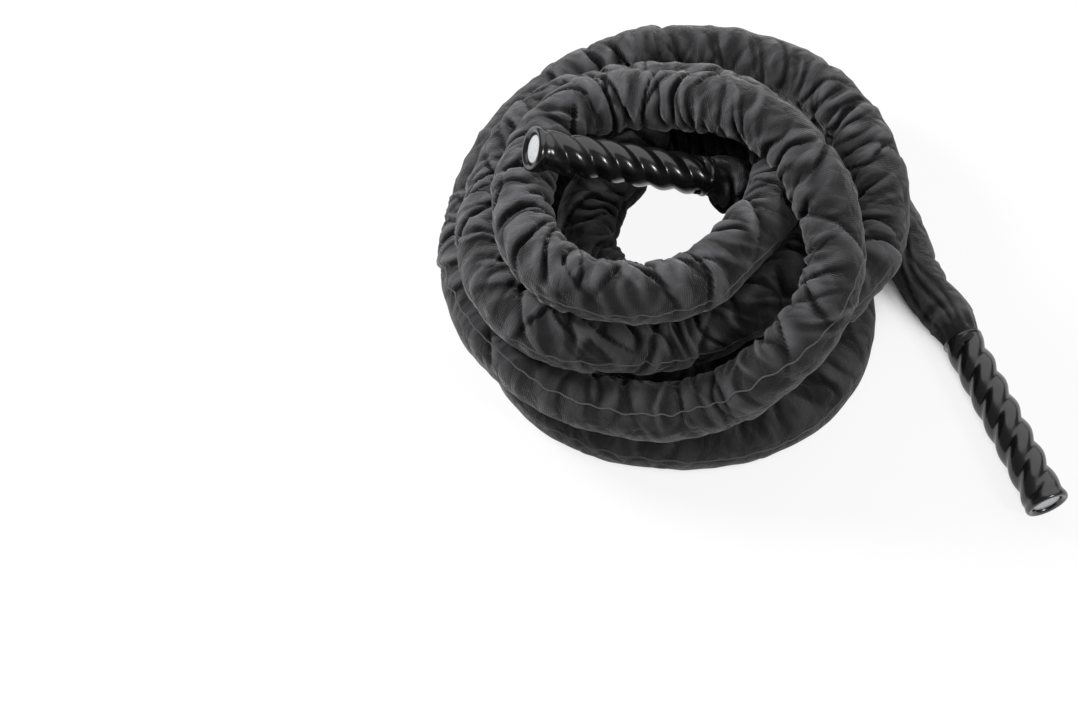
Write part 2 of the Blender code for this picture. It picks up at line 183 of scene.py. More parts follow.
# The cloth's patterns: the rib's pitch, and cells a metre of facets some 21 mm wide, crumples of
# 24 mm, wrinkles of 9 mm and a grain of yarns of 1.2 mm
RIB_PITCH = 0.0027
FACETS_PER_METRE = 48.0
CRUMPLES_PER_METRE = 42.0
WRINKLES_PER_METRE = 115.0
YARNS_PER_METRE = 850.0

# Lamps: name, place, diameter, power in watts and whether they leave highlights
LAMPS = (
    ("left_soft", (-1.9, 0.8, 1.6), 0.8, 80.0, False),
    ("front_small", (1.56, -1.43, 1.50), 0.55, 23.0, True),
    ("overhead_wide", (1.1, 2.0, 2.8), 7.0, 130.0, True),
)

# The photograph's view: elevation, distance and the height of the point looked at
VIEW_ELEVATION = math.radians(59)
VIEW_DISTANCE = 2.5
VIEW_HEIGHT = 0.079
METRES_PER_PIXEL = 1.395e-3
PICTURE_WIDTH = 1078
PICTURE_HEIGHT = 705
COIL_AXIS_PIXEL = (672, 240)
COIL_HOLE_OFFSET = 0.075

SLEEVE_RADIUS = SLEEVE_DIAMETER / 2
TURN_SPACING = SLEEVE_DIAMETER + TURN_GAP
LYING_HEIGHT = SLEEVE_RADIUS - FLAT_SHARE * SLEEVE_DIAMETER
UP = np.array((0.0, 0.0, 1.0))

# Where the sleeve presses: the gap that it keeps, how softly it flattens, how far along the rope a
# stretch doesn't press on itself, how far a ring looks round, and the bodies that stand for a grip
PRESS_GAP = 0.0006
PRESS_SOFTNESS = 0.0020
OWN_STRETCH = 3.0 * SLEEVE_RADIUS
PRESS_REACH = 2 * SLEEVE_RADIUS + 0.020
GRIP_BODIES_FROM = 0.05
GRIP_BODY_STEP = 0.006


def unit(vector):
    return vector / np.linalg.norm(vector)


def ease(share):
    """A share held between 0 and 1 that leaves and arrives slowly."""
    share = np.clip(share, 0.0, 1.0)
    return share * share * (3 - 2 * share)


def soft_step(share):
    """A share from 0 to 1 that leaves and arrives slower still than with ease."""
    return share * share * share * (share * (share * 6 - 15) + 10)


def cubic(p0, p1, p2, p3, share):
    """The point a share of the way from p1 to p2 on a smooth curve through all four."""
    rise = p2 - p0
    sag = 2 * p0 - 5 * p1 + 4 * p2 - p3
    turn = 3 * p1 - p0 - 3 * p2 + p3
    return p1 + (rise * share + sag * share**2 + turn * share**3) / 2


def smooth_through(points, start_way, end_way):
    """A smooth curve through points that leaves and arrives along the given directions."""
    before = points[1] - 2 * start_way * np.linalg.norm(points[1] - points[0])
    after = points[-2] + 2 * end_way * np.linalg.norm(points[-1] - points[-2])
    padded = [before, *points, after]
    curve = []
    for first in range(len(points) - 1):
        around = padded[first : first + 4]
        curve += [cubic(*around, step / ROUTE_STEPS) for step in range(ROUTE_STEPS)]
    return np.array(curve + [points[-1]])


def lengths_along(points):
    steps = np.linalg.norm(np.diff(points, axis=0), axis=1)
    return np.concatenate(((0.0,), np.cumsum(steps)))


def read_at(values, along, distances):
    """Rows of values that belong to distances along a line, read between its points."""
    columns = [np.interp(distances, along, values[:, column]) for column in range(values.shape[1])]
    return np.column_stack(columns)


def by_turns(table, turns):
    """Values at counts of turns, read between the rows of a table."""
    places, values = zip(*table)
    return np.interp(turns, places, values)


def smoothed(values, steps):
    """A weighted running mean of values over steps on each side, its ends held."""
    padded = np.pad(values, ((steps, steps), (0, 0)), mode="reflect", reflect_type="odd")
    kernel = np.hanning(2 * steps + 3)[1:-1]
    kernel /= kernel.sum()
    columns = [np.convolve(padded[:, c], kernel, mode="valid") for c in range(values.shape[1])]
    return np.column_stack(columns)


def wrapped(angles):
    """Angles brought within half a turn of zero."""
    return (angles + math.pi) % (2 * math.pi) - math.pi


def add_object(name, data):
    """Adds an object with the given data to the scene."""
    made = bpy.data.objects.new(name, data)
    bpy.context.collection.objects.link(made)
    return made


def coil_plan():
    """The coil's centre line seen from above, with each point's count of turns."""
    reaches = [reach for turn in TURN_REACHES for reach in turn]
    per_turn = len(TURN_REACHES[0])
    count = round((LAST_TURN - FIRST_TURN) * ROUTE_STEPS)
    rows = []
    for turns in np.linspace(FIRST_TURN, LAST_TURN, count + 1):
        first = int(turns * per_turn)
        nearby = (min(max(first + offset, 0), len(reaches) - 1) for offset in (-1, 0, 1, 2))
        around = [reaches[place] for place in nearby]
        reach = cubic(*around, turns * per_turn - first)
        angle = 2 * math.pi * turns
        rows.append((reach * math.cos(angle), reach * math.sin(angle), turns))
    return np.array(rows)


def tail_plan(coil_start, coil_way):
    """The floor stretch from grip B's root to the straight run that leads into the coil."""
    root = np.array(GRIP_B_ROOT)
    grip_way = unit(np.array(GRIP_B_TOWARDS) - root)
    neck = root - grip_way * (NECK_LENGTH + NECK_TAPER) / 2
    lead_in = coil_start - coil_way * SLEEVE_DIAMETER
    points = [root, neck, *(np.array(point) for point in TAIL_ROUTE), lead_in]
    return smooth_through(points, -grip_way, coil_way)


def resting_heights(plan, turns):
    """The lowest heights at which each later-laid stretch rests on those below it."""
    along = lengths_along(plan)
    apart = np.abs(along[:, None] - along[None])
    in_plan = np.linalg.norm(plan[:, None] - plan[None], axis=2)
    laid = np.where(turns < TOP_LAID_FROM_TURN, turns, 2 * TOP_LAID_FROM_TURN + LAST_TURN - turns)
    crossing = (laid[:, None] > laid[None]) & (apart > 2 * TURN_SPACING) & (in_plan < TURN_SPACING)
    lift = np.where(crossing, np.sqrt(np.maximum(TURN_SPACING**2 - in_plan**2, 0.0)), -np.inf)
    bend = STEEPEST_SLOPE * HUMP_RADIUS
    fall = np.where(apart > bend, STEEPEST_SLOPE * (apart - bend / 2), apart**2 / (2 * HUMP_RADIUS))
    sag = along[1] ** 2 / (2 * HUMP_RADIUS)
    heights = np.full(len(plan), LYING_HEIGHT)
    for _ in range(SETTLING_ROUNDS):
        held = np.maximum(LYING_HEIGHT, (heights[None] + lift).max(axis=1))
        held[-1] = max(held[-1], TOP_ROUTE[0][2])
        heights = (held[None] - fall).max(axis=1)
        for _ in range(ROUTE_STEPS):
            middle = (heights[2:] + heights[:-2]) / 2 - sag
            heights[1:-1] = np.maximum(heights[1:-1], middle)
    return heights


def floor_and_coil():
    """The tail and the coil as one line, with each point's count of turns."""
    coil = coil_plan()
    coil_way = unit(coil[1, :2] - coil[0, :2])
    tail = tail_plan(coil[0, :2], coil_way)
    tail_turns = np.full((len(tail), 1), FIRST_TURN)
    rows = np.vstack((np.hstack((tail, tail_turns)), coil))
    along = lengths_along(rows[:, :2])
    even = np.linspace(0.0, along[-1], SOLVER_STEPS + 1)
    spread = read_at(rows, along, even)
    heights = resting_heights(spread[:, :2], spread[:, 2])
    return np.column_stack((rows[:, :2], np.interp(along, even, heights))), rows[:, 2]


def grip_a_towards(lying):
    """The place of grip A's rolled end, with the grip lying as low on the coil as it can."""
    root = np.array(GRIP_A_ROOT)
    run = np.array(GRIP_A_TOWARDS) - root[:2]
    reach = np.linalg.norm(run)
    onward = (lying[:, :2] - root[:2]) @ run / reach
    across = (lying[:, :2] - root[:2]) @ np.array((-run[1], run[0])) / reach
    beyond = np.maximum(onward - reach, 0.0)
    apart = SLEEVE_RADIUS + LIP_RADIUS + TURN_GAP
    under = (np.hypot(across, beyond) < apart) & (onward > apart)
    clear = np.sqrt(apart**2 - across[under] ** 2 - beyond[under] ** 2)
    slope = 0.0
    for _ in range(SETTLING_ROUNDS):
        tilted = np.where(beyond[under] > 0, clear, clear * math.hypot(1.0, slope))
        slopes = (lying[under, 2] + tilted - root[2]) / np.minimum(onward[under], reach)
        slope = slopes.max()
    return np.array((*GRIP_A_TOWARDS, root[2] + slope * reach))


def top_end_line(coil_end, coil_way, towards):
    """The stretch from the coil's end up to grip A's root."""
    root = np.array(GRIP_A_ROOT)
    grip_way = unit(towards - root)
    lead_out = coil_end + coil_way * SLEEVE_DIAMETER
    neck = root - grip_way * (NECK_LENGTH + NECK_TAPER) / 2
    points = [lead_out, *(np.array(point) for point in TOP_ROUTE), neck, root]
    return smooth_through(points, coil_way, grip_way)


def grip_places(lying):
    """Root and direction of grip A and of grip B, before the whole model stands on its origin."""
    root_a = np.array(GRIP_A_ROOT)
    root_b = np.array((*GRIP_B_ROOT, LYING_HEIGHT))
    towards_b = np.array((*GRIP_B_TOWARDS, LYING_HEIGHT))
    return (root_a, unit(grip_a_towards(lying) - root_a)), (root_b, unit(towards_b - root_b))


def frame_shift(root, way):
    """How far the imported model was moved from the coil's axis, read from grip B's end disc."""
    disc = root + way * (GRIP_LENGTH - DISC_RECESS - DISC_THICKNESS / 2)
    low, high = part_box("end_disc_b")
    middle = (np.array(low) + np.array(high)) / 2
    return np.array((middle[0] - disc[0], middle[1] - disc[1], 0.0))


def rope_line(lying, turns, shift):
    """Points of the rope's centre line from neck to neck, and each one's count of turns."""
    coil_way = unit(lying[-1] - lying[-3])
    top = top_end_line(lying[-1], coil_way, grip_a_towards(lying))
    start = lying[0] + unit(lying[0] - lying[1]) * NECK_LENGTH
    end = top[-1] + unit(top[-1] - top[-2]) * NECK_LENGTH
    route = np.vstack((start, lying, top, end)) + shift
    after = np.linspace(LAST_TURN, LAST_TURN + TOP_END_TURNS, len(top) + 1)
    rows = np.column_stack((route, np.concatenate(((turns[0],), turns, after))))
    along = lengths_along(route)
    even = read_at(rows, along, np.linspace(0.0, along[-1], round(along[-1] / LINE_STEP) + 1))
    even[:, :3] = smoothed(even[:, :3], round(LINE_SMOOTHING / LINE_STEP))
    return ring_stations(even)


def ring_stations(even):
    """The line's rows at the sleeve's rings, which lie closer where it is bunched up."""
    along = lengths_along(even[:, :3])
    share = ease((even[:, 3] - BUNCHED_FROM_TURN) / BUNCHING_TURNS)
    step = COARSE_RING_STEP + (FINE_RING_STEP - COARSE_RING_STEP) * share
    count = np.concatenate(((0.0,), np.cumsum(np.diff(along) / step[1:])))
    stations = np.interp(np.linspace(0.0, count[-1], round(count[-1]) + 1), count, along)
    rings = read_at(even, along, stations)
    return rings[:, :3], rings[:, 3]


class RopeFrames:
    """Directions along the rope: onward, sideways (towards the coil's axis) and up."""

    def __init__(self, centres):
        self.centres = centres
        self.along = lengths_along(centres)
        onward = np.gradient(centres, self.along, axis=0)
        self.onward = onward / np.linalg.norm(onward, axis=1)[:, None]
        side = np.cross(UP, self.onward)
        self.side = side / np.linalg.norm(side, axis=1)[:, None]
        self.top = np.cross(self.onward, self.side)
        bend = np.gradient(self.onward, self.along, axis=0)
        self.bend = smoothed(bend, round(BEND_SMOOTHING / FINE_RING_STEP))
        bend_up = (self.bend * self.top).sum(axis=1)
        bend_aside = (self.bend * self.side).sum(axis=1)
        self.inner = np.arctan2(bend_up, bend_aside)

    def outward(self, angles):
        """Unit vectors at angles round each ring: 0 is sideways, a quarter turn is up."""
        cosine = np.cos(angles)[..., None]
        return cosine * self.side[:, None] + np.sin(angles)[..., None] * self.top[:, None]


def gradient_noise(x, y, period_y, seed):
    """Smooth noise from -1 to 1 over x and y, which repeats in y after a whole number."""
    rng = np.random.default_rng(seed)
    columns = int(x.max()) + 3
    turn = rng.uniform(0.0, 2 * math.pi, (columns, period_y))
    x0 = np.floor(x).astype(int)
    y0 = np.floor(y).astype(int)
    fx = x - x0
    fy = y - y0
    corner = {}
    for dx in (0, 1):
        for dy in (0, 1):
            lean = turn[x0 + dx, (y0 + dy) % period_y]
            corner[dx, dy] = np.cos(lean) * (fx - dx) + np.sin(lean) * (fy - dy)
    sx = soft_step(fx)
    sy = soft_step(fy)
    low = corner[0, 0] * (1 - sx) + corner[1, 0] * sx
    high = corner[0, 1] * (1 - sx) + corner[1, 1] * sx
    # The blend of four slopes stays some 0.7 high, which this brings up to 1
    fullness = 1.4
    return fullness * (low * (1 - sy) + high * sy)


def puffed(across):
    """Cloth beside a crease: a quick rise to its height at 1, then a slow fall."""
    beyond = np.maximum(across, 0.0)
    return beyond * np.exp(1 - beyond)


def soft_limit(values, low, high):
    """Values bent smoothly so that they stay between low and high."""
    return np.where(values < 0, low * np.tanh(values / low), high * np.tanh(values / high))


def add_fold(heights, frames, angles, place, fold):
    """Adds one fold across the sleeve to the height field.

    It crosses the rope at place, leaning and bowed, with its middle at an angle round the rope, and
    fades at both ends. Beside its narrow valley the cloth rises and falls slowly, more on one side.
    A fold with a crest is a thin ridge in a broad hollow instead.
    """
    reach = 0.080
    wave_height = 0.0035
    phase = place / 0.004
    roll_share = 0.34
    first, last = np.searchsorted(frames.along, (place - reach, place + reach))
    off = wrapped(angles[first:last] - fold["middle"])
    wave = wave_height * np.sin(off * fold["waves"] + phase)
    line = SLEEVE_RADIUS * (fold["lean"] * off + fold["bow"] * off**2) + wave
    across = frames.along[first:last, None] - place - line
    # A leaning fold is wider along the rope than across itself
    width = fold["width"] * (1 + 0.6 * abs(fold["lean"]))
    hollow_width = 3.2 * width
    roll_width = 2 * width
    narrow = 1 / (1 + (across / width) ** 2) ** 2
    if fold["crest"]:
        hollow = 0.40 + fold["skew"] / 3
        profile = fold["crest"] * narrow - hollow * np.exp(-((across / hollow_width) ** 2))
    else:
        near_roll = (roll_share + fold["skew"]) * puffed(across / roll_width)
        far_roll = (roll_share - fold["skew"]) * puffed(-across / roll_width)
        profile = near_roll + far_roll - narrow
    fade = np.exp(-np.abs(off / fold["span"]) ** 3)
    heights[first:last] += fold["depth"] * profile * fade


def fold_places(frames, turns, rng, from_ends, gaps, closer=0.0):
    """Places of folds along the sleeve, each with its ring and how strongly it is gathered there.

    The gap to the next fold is drawn after the fold's own numbers. Folds that come closer do so by
    this share of the gap where the gathering is twice the usual.
    """
    place = from_ends[0]
    while place < frames.along[-1] - from_ends[1]:
        ring = np.searchsorted(frames.along, place)
        gathered = by_turns(GATHERED, turns[ring])
        yield place, ring, gathered
        place += rng.uniform(*gaps) * (1 + closer - closer * gathered)


def add_gathers(heights, frames, turns, angles, rng):
    """Rounded ridges and deep valleys across the inside of the bends, one after another."""
    places = fold_places(frames, turns, rng, GATHERS_FROM_ENDS, GATHER_GAPS, closer=0.25)
    for place, ring, gathered in places:
        fold = {
            "middle": frames.inner[ring] + rng.normal(0.35, 0.45),
            "lean": by_turns(SLANTED, turns[ring]) + rng.normal(0.0, 0.22),
            "bow": rng.normal(0.06, 0.14),
            "width": rng.uniform(0.0034, 0.0056),
            "span": rng.uniform(0.6, 1.2) + 0.6 * gathered * rng.uniform(0.2, 1.2),
            "skew": rng.uniform(-0.3, 0.3),
            "waves": rng.uniform(1.5, 4.5),
            "crest": rng.choice((0.0, 0.0, 0.95)),
            "depth": 0.0125 * gathered * rng.uniform(0.3, 1.15),
        }
        add_fold(heights, frames, angles, place, fold)


def add_pinches(heights, frames, turns, angles, rng):
    """Pairs of slanting creases that run apart from one point, anywhere round the sleeve."""
    places = fold_places(frames, turns, rng, PINCHES_FROM_ENDS, PINCH_GAPS)
    for place, ring, gathered in places:
        middle = frames.inner[ring] + rng.normal(1.1, 0.9)
        for lean in (rng.uniform(0.3, 0.8), -rng.uniform(0.3, 0.8)):
            fold = {
                "middle": middle + 0.5 * np.sign(lean),
                "lean": lean,
                "bow": rng.normal(0.0, 0.15),
                "width": rng.uniform(0.0034, 0.0048),
                "span": rng.uniform(0.45, 1.0),
                "skew": rng.uniform(-0.5, 0.5),
                "waves": rng.uniform(1.5, 4.5),
                "crest": rng.choice((0.0, 0.9)),
                "depth": 0.0085 * gathered * rng.uniform(0.3, 1.2),
            }
            add_fold(heights, frames, angles, place, fold)


def add_tucks(heights, frames, turns, angles, rng):
    """Creases most of the way round, which part the sleeve into panels."""
    places = fold_places(frames, turns, rng, TUCKS_FROM_ENDS, TUCK_GAPS)
    for place, ring, gathered in places:
        fold = {
            "middle": frames.inner[ring] + rng.normal(0.6, 0.8),
            "lean": rng.normal(0.0, 0.4),
            "bow": rng.normal(0.0, 0.10),
            "width": rng.uniform(0.0032, 0.0046),
            "span": rng.uniform(1.4, 2.4),
            "skew": rng.choice((-0.6, 0.6)),
            "waves": rng.uniform(1.0, 3.5),
            "crest": rng.choice((0.0, 0.0, 0.0, 0.8)),
            "depth": 0.0070 * gathered * rng.uniform(0.4, 1.3),
        }
        add_fold(heights, frames, angles, place, fold)


def tail_length(frames, turns):
    """How far along the sleeve the floor stretch goes before the coil begins."""
    return frames.along[np.searchsorted(turns, FIRST_TURN, side="right")]


def slimness(frames, turns):
    """The share of its full girth that the sleeve has: it clings to the rope on the floor stretch."""
    past_tail = frames.along - tail_length(frames, turns)
    return 1 - TAIL_SLIMMER * (1 - ease(past_tail / TAIL_SWELL_LENGTH))


def tail_creases(frames, turns, angles):
    """Long creases that run along the floor stretch, where the cloth is drawn out straight."""
    fade_start = 0.02
    fade_length = 0.15
    roll_height = 0.6
    roll_width = 0.008
    valley_width = 0.0035
    waver = 0.12
    waver_length = 0.021
    tail_end = tail_length(frames, turns)
    share = (1 - ease((frames.along - tail_end + fade_start) / fade_length))[:, None]
    heights = np.zeros_like(angles)
    for middle, turn, depth in TAIL_CREASES:
        course = math.radians(middle) + turn * (frames.along / tail_end)[:, None]
        # Each crease wavers by up to 7 degrees, the three of them out of step
        course = course + waver * np.sin(frames.along / waver_length + middle)[:, None]
        off = wrapped(angles - course) * SLEEVE_RADIUS
        roll = roll_height * puffed(np.abs(off) / roll_width)
        heights += depth * (roll - np.exp(-((off / valley_width) ** 2)))
    return heights * share


def sleeve_folds(frames, turns, angles):
    """Height of the sleeve's folds above its plain radius."""
    rng = np.random.default_rng(FOLD_SEED)
    heights = np.zeros_like(angles)
    add_gathers(heights, frames, turns, angles, rng)
    add_pinches(heights, frames, turns, angles, rng)
    add_tucks(heights, frames, turns, angles, rng)
    heights = soft_limit(heights, -DEEPEST_FOLD, HIGHEST_FOLD) * by_turns(CALM, turns)[:, None]
    along = frames.along[:, None] + np.zeros_like(angles)
    around = angles / (2 * math.pi) + 1.0
    billow = BILLOW_HEIGHT * gradient_noise(
        along / BILLOW_LENGTH, around * BILLOWS_ROUND, BILLOWS_ROUND, seed=31
    )
    # Drawn cloth stands in sharp crests between broad hollows, which slant round the rope
    crest_slant = 0.4
    slanting = along + crest_slant * SLEEVE_RADIUS * (1 + np.sin(angles))
    ridged = gradient_noise(slanting / CREST_LENGTH, around * CRESTS_ROUND, CRESTS_ROUND, seed=32)
    crests = 1 - 2 * np.abs(ridged)
    usual_crest = 0.6
    gathered = by_turns(GATHERED, turns)[:, None]
    ripple = CREST_HEIGHT * (crests - usual_crest) * gathered
    return heights + billow + ripple + tail_creases(frames, turns, angles)


def neck_radii(frames, radii, angles):
    """Draws the sleeve in to the rope at both ends, in pleats, where the grips' tubes hold it."""
    total = frames.along[-1]
    from_end = np.minimum(frames.along, total - frames.along) - NECK_LENGTH
    open_share = ease(from_end / NECK_TAPER)[:, None]
    held = ROPE_DIAMETER / 2 + CLOTH_THICKNESS
    pleats = PLEAT_DEPTH * np.cos(angles * PLEATS) * ease(from_end / PLEAT_START)[:, None]
    return held + (radii - held) * open_share + pleats * (1 - open_share)


def pressing_bodies(frames, grips):
    """What the sleeve may press on: rows of a centre, its ring (a grip's has none) and a radius."""
    bodies = [(centre, ring, SLEEVE_RADIUS) for ring, centre in enumerate(frames.centres)]
    for root, way in grips:
        for height in np.arange(GRIP_BODIES_FROM, GRIP_LENGTH, GRIP_BODY_STEP):
            bodies.append((root + way * height, None, LIP_RADIUS))
    return bodies


def free_radii(centre, outward, near):
    """How far the cloth round one ring may stand out before it meets the floor or a body near it."""
    unlimited = 1.0
    limit = np.full(len(outward), unlimited)
    down = -outward[:, 2]
    facing_floor = down > 1e-3
    limit[facing_floor] = centre[2] / down[facing_floor]
    if near:
        apart = np.array([body[0] for body in near]) - centre
        sizes = np.array([body[2] for body in near])
        towards = outward @ apart.T
        share = ((apart**2).sum(axis=1) + SLEEVE_RADIUS**2 - sizes**2) / 2
        between = share[None] / np.maximum(towards, 1e-6)
        nearest = np.where(towards > 1e-4, between, unlimited).min(axis=1)
        limit = np.minimum(limit, nearest - PRESS_GAP)
    return limit


def kept_clear(frames, radii, outward, grips):
    """Presses the sleeve flat against the floor, the turns that it touches and the grips."""
    bodies = pressing_bodies(frames, grips)
    tree = KDTree(len(bodies))
    for place, body in enumerate(bodies):
        tree.insert(body[0], place)
    tree.balance()
    for ring, centre in enumerate(frames.centres):
        near = []
        for hit in tree.find_range(centre, PRESS_REACH):
            body = bodies[hit[1]]
            if body[1] is None or abs(frames.along[body[1]] - frames.along[ring]) > OWN_STRETCH:
                near.append(body)
        limit = free_radii(centre, outward[ring], near)
        squeeze = np.logaddexp(-radii[ring] / PRESS_SOFTNESS, -limit / PRESS_SOFTNESS)
        radii[ring] = np.minimum(-PRESS_SOFTNESS * squeeze, limit)
    return radii


def seam_angles(frames, turns):
    """The seam's place round the sleeve, which wanders to and fro."""
    level = np.zeros(len(turns))
    wander = gradient_noise(frames.along / SEAM_WANDER_LENGTH, level, 1, seed=41)
    return np.radians(by_turns(SEAM_ANGLES, turns) + SEAM_WANDER * wander)


def seam_points(frames, turns, points):
    """Points of the seam on the finished sleeve, which wander a little as the cloth puckers."""
    level = np.zeros(len(turns))
    pucker = gradient_noise(frames.along / SEAM_PUCKER_LENGTH, level, 1, seed=42)
    pucker *= math.radians(SEAM_PUCKER)
    spot = (seam_angles(frames, turns) + pucker + math.pi / 2) / (2 * math.pi) * RING_SIDES
    first = np.floor(spot).astype(int) % RING_SIDES
    share = (spot - np.floor(spot))[:, None]
    rows = np.arange(len(points))
    return points[rows, first] * (1 - share) + points[rows, (first + 1) % RING_SIDES] * share


def tube_piece(name, points, around_share, along):
    """A tube over rings of points, with a UV map in metres: round it and along it."""
    rings, sides = points.shape[:2]
    mesh = bpy.data.meshes.new(name)
    index = np.arange(rings * sides).reshape(rings, sides)
    onward = np.roll(index, -1, axis=1)
    quads = np.stack((index[:-1], onward[:-1], onward[1:], index[1:]), axis=-1).reshape(-1, 4)
    mesh.from_pydata(points.reshape(-1, 3).tolist(), [], quads.tolist())
    wide = np.broadcast_to(around_share, (rings, sides))
    at_last_side = np.arange(sides) == sides - 1
    next_wide = np.where(at_last_side, wide + 1.0 / sides, np.roll(wide, -1, axis=1))
    tall = np.broadcast_to(along[:, None], (rings, sides))
    u = np.stack((wide[:-1], next_wide[:-1], next_wide[1:], wide[1:]), axis=-1)
    v = np.stack((tall[:-1], tall[:-1], tall[1:], tall[1:]), axis=-1)
    around_metres = math.pi * SLEEVE_DIAMETER
    layer = mesh.uv_layers.new(name="UVMap")
    layer.data.foreach_set("uv", np.stack((u * around_metres, v), axis=-1).ravel())
    mesh.shade_smooth()
    return add_object(name, mesh)


def sleeve_lengths(turns):
    """The sleeve's two lengths, which meet where the turns above hide their joint."""
    split = int(np.searchsorted(turns, BUNCHED_FROM_TURN))
    return (("nylon_sleeve_lower", slice(0, split + 1)), ("nylon_sleeve_upper", slice(split, None)))


def local_relief(radii):
    """How far each point stands above or below the cloth around it, in metres."""
    offsets = range(-RELIEF_SIDES, RELIEF_SIDES + 1)
    around = np.mean([np.roll(radii, offset, axis=1) for offset in offsets], axis=0)
    return radii - smoothed(around, RELIEF_RINGS)


def make_sleeve(frames, turns, grips, material):
    """The nylon sleeve from grip to grip, in two lengths: folds, necks, and flats where it presses."""
    proud = 0.0005
    share = np.arange(RING_SIDES) / RING_SIDES
    angles = np.tile(share * 2 * math.pi - math.pi / 2, (len(frames.along), 1))
    outward = frames.outward(angles)
    folds = sleeve_folds(frames, turns, angles)
    radii = (SLEEVE_RADIUS + proud) * slimness(frames, turns)[:, None] + folds
    radii = neck_radii(frames, radii, angles)
    radii = kept_clear(frames, radii, outward, grips)
    points = frames.centres[:, None] + outward * radii[..., None]
    relief = local_relief(radii)
    pieces = []
    for name, rings in sleeve_lengths(turns):
        piece = tube_piece(name, points[rings], share, frames.along[rings])
        # The relief drives the cloth's painted shade in the folds and painted highlight on the crests
        layer = piece.data.attributes.new("relief", "FLOAT", "POINT")
        layer.data.foreach_set("value", relief[rings].ravel())
        piece.data.materials.append(material)
        pieces.append(piece)
    return pieces, seam_points(frames, turns, points)


def add_node(tree, kind, inputs=None, **settings):
    """Adds a node, applies its settings, and sets each input or joins it to a socket."""
    node = tree.nodes.new(kind)
    for name, value in settings.items():
        setattr(node, name, value)
    for socket, value in (inputs or {}).items():
        if isinstance(value, bpy.types.NodeSocket):
            tree.links.new(value, node.inputs[socket])
        else:
            node.inputs[socket].default_value = value
    return node


def new_tree(name, sizes):
    """An empty Geometry Nodes tree with a geometry, a material and named sizes as its inputs."""
    tree = bpy.data.node_groups.new(name, "GeometryNodeTree")
    sockets = tree.interface
    sockets.new_socket(name="Geometry", in_out="INPUT", socket_type="NodeSocketGeometry")
    sockets.new_socket(name="Material", in_out="INPUT", socket_type="NodeSocketMaterial")
    for size in sizes:
        sockets.new_socket(name=size, in_out="INPUT", socket_type="NodeSocketFloat")
    sockets.new_socket(name="Geometry", in_out="OUTPUT", socket_type="NodeSocketGeometry")
    return tree, add_node(tree, "NodeGroupInput").outputs


def close_tree(tree, given, geometry):
    """Ends a tree: its instances become real and get the material."""
    real = add_node(tree, "GeometryNodeRealizeInstances", {"Geometry": geometry})
    finish = {"Geometry": real.outputs["Geometry"], "Material": given["Material"]}
    painted = add_node(tree, "GeometryNodeSetMaterial", finish)
    add_node(tree, "NodeGroupOutput", {"Geometry": painted.outputs["Geometry"]})


def run_tree(piece, tree, values):
    """Runs a tree on a piece with the given input values and keeps the result as its plain mesh."""
    modifier = piece.modifiers.new(tree.name, "NODES")
    modifier.node_group = tree
    for item in tree.interface.items_tree:
        if item.in_out == "INPUT" and item.name in values:
            modifier[item.identifier] = values[item.name]
    depsgraph = bpy.context.evaluated_depsgraph_get()
    mesh = bpy.data.meshes.new_from_object(piece.evaluated_get(depsgraph))
    piece.modifiers.clear()
    piece.data = mesh
    mesh.name = piece.name


def seam_tree():
    """A thin welt swept along the seam's line, with a row of stitches on it."""
    sizes = ("Welt Radius", "Stitch Pitch", "Stitch Length", "Stitch Rise", "Thread")
    tree, given = new_tree("sewn_seam", sizes)
    line = add_node(tree, "GeometryNodeMeshToCurve", {"Mesh": given["Geometry"]}).outputs["Curve"]
    ring = add_node(
        tree, "GeometryNodeCurvePrimitiveCircle", {"Resolution": 6, "Radius": given["Welt Radius"]}
    )
    welt = add_node(
        tree, "GeometryNodeCurveToMesh", {"Curve": line, "Profile Curve": ring.outputs["Curve"]}
    )
    spots = add_node(
        tree, "GeometryNodeCurveToPoints", {"Curve": line, "Length": given["Stitch Pitch"]},
        mode="LENGTH",
    )
    half_length = add_node(
        tree, "ShaderNodeMath", {0: given["Stitch Length"], 1: 0.5}, operation="MULTIPLY"
    )
    shape = add_node(
        tree,
        "ShaderNodeCombineXYZ",
        {"X": given["Thread"], "Y": given["Thread"], "Z": half_length.outputs[0]},
    )
    bead = add_node(
        tree, "GeometryNodeMeshUVSphere", {"Segments": 6, "Rings": 4, "Radius": 1.0}
    )
    rise = add_node(tree, "ShaderNodeCombineXYZ", {"Y": given["Stitch Rise"]})
    stitch = add_node(
        tree,
        "GeometryNodeTransform",
        {"Geometry": bead.outputs["Mesh"], "Scale": shape.outputs["Vector"],
         "Translation": rise.outputs["Vector"]},
    )
    stitches = add_node(
        tree,
        "GeometryNodeInstanceOnPoints",
        {"Points": spots.outputs["Points"], "Instance": stitch.outputs["Geometry"],
         "Rotation": spots.outputs["Rotation"]},
    )
    joined = add_node(tree, "GeometryNodeJoinGeometry", {"Geometry": welt.outputs["Mesh"]})
    tree.links.new(stitches.outputs["Instances"], joined.inputs["Geometry"])
    smooth = add_node(
        tree, "GeometryNodeSetShadeSmooth", {"Geometry": joined.outputs["Geometry"]}
    )
    close_tree(tree, given, smooth.outputs["Geometry"])
    return tree


def make_seam(name, line, tree, material):
    """The sleeve's lengthwise seam: a welt with its stitches, along the folded cloth."""
    mesh = bpy.data.meshes.new(name)
    edges = [(here, here + 1) for here in range(len(line) - 1)]
    mesh.from_pydata(line.tolist(), edges, [])
    seam = add_object(name, mesh)
    sizes = {
        "Material": material,
        "Welt Radius": WELT_RADIUS,
        "Stitch Pitch": STITCH_PITCH,
        "Stitch Length": STITCH_LENGTH,
        "Stitch Rise": STITCH_RISE,
        "Thread": STITCH_THICKNESS / 2,
    }
    run_tree(seam, tree, sizes)
    return seam


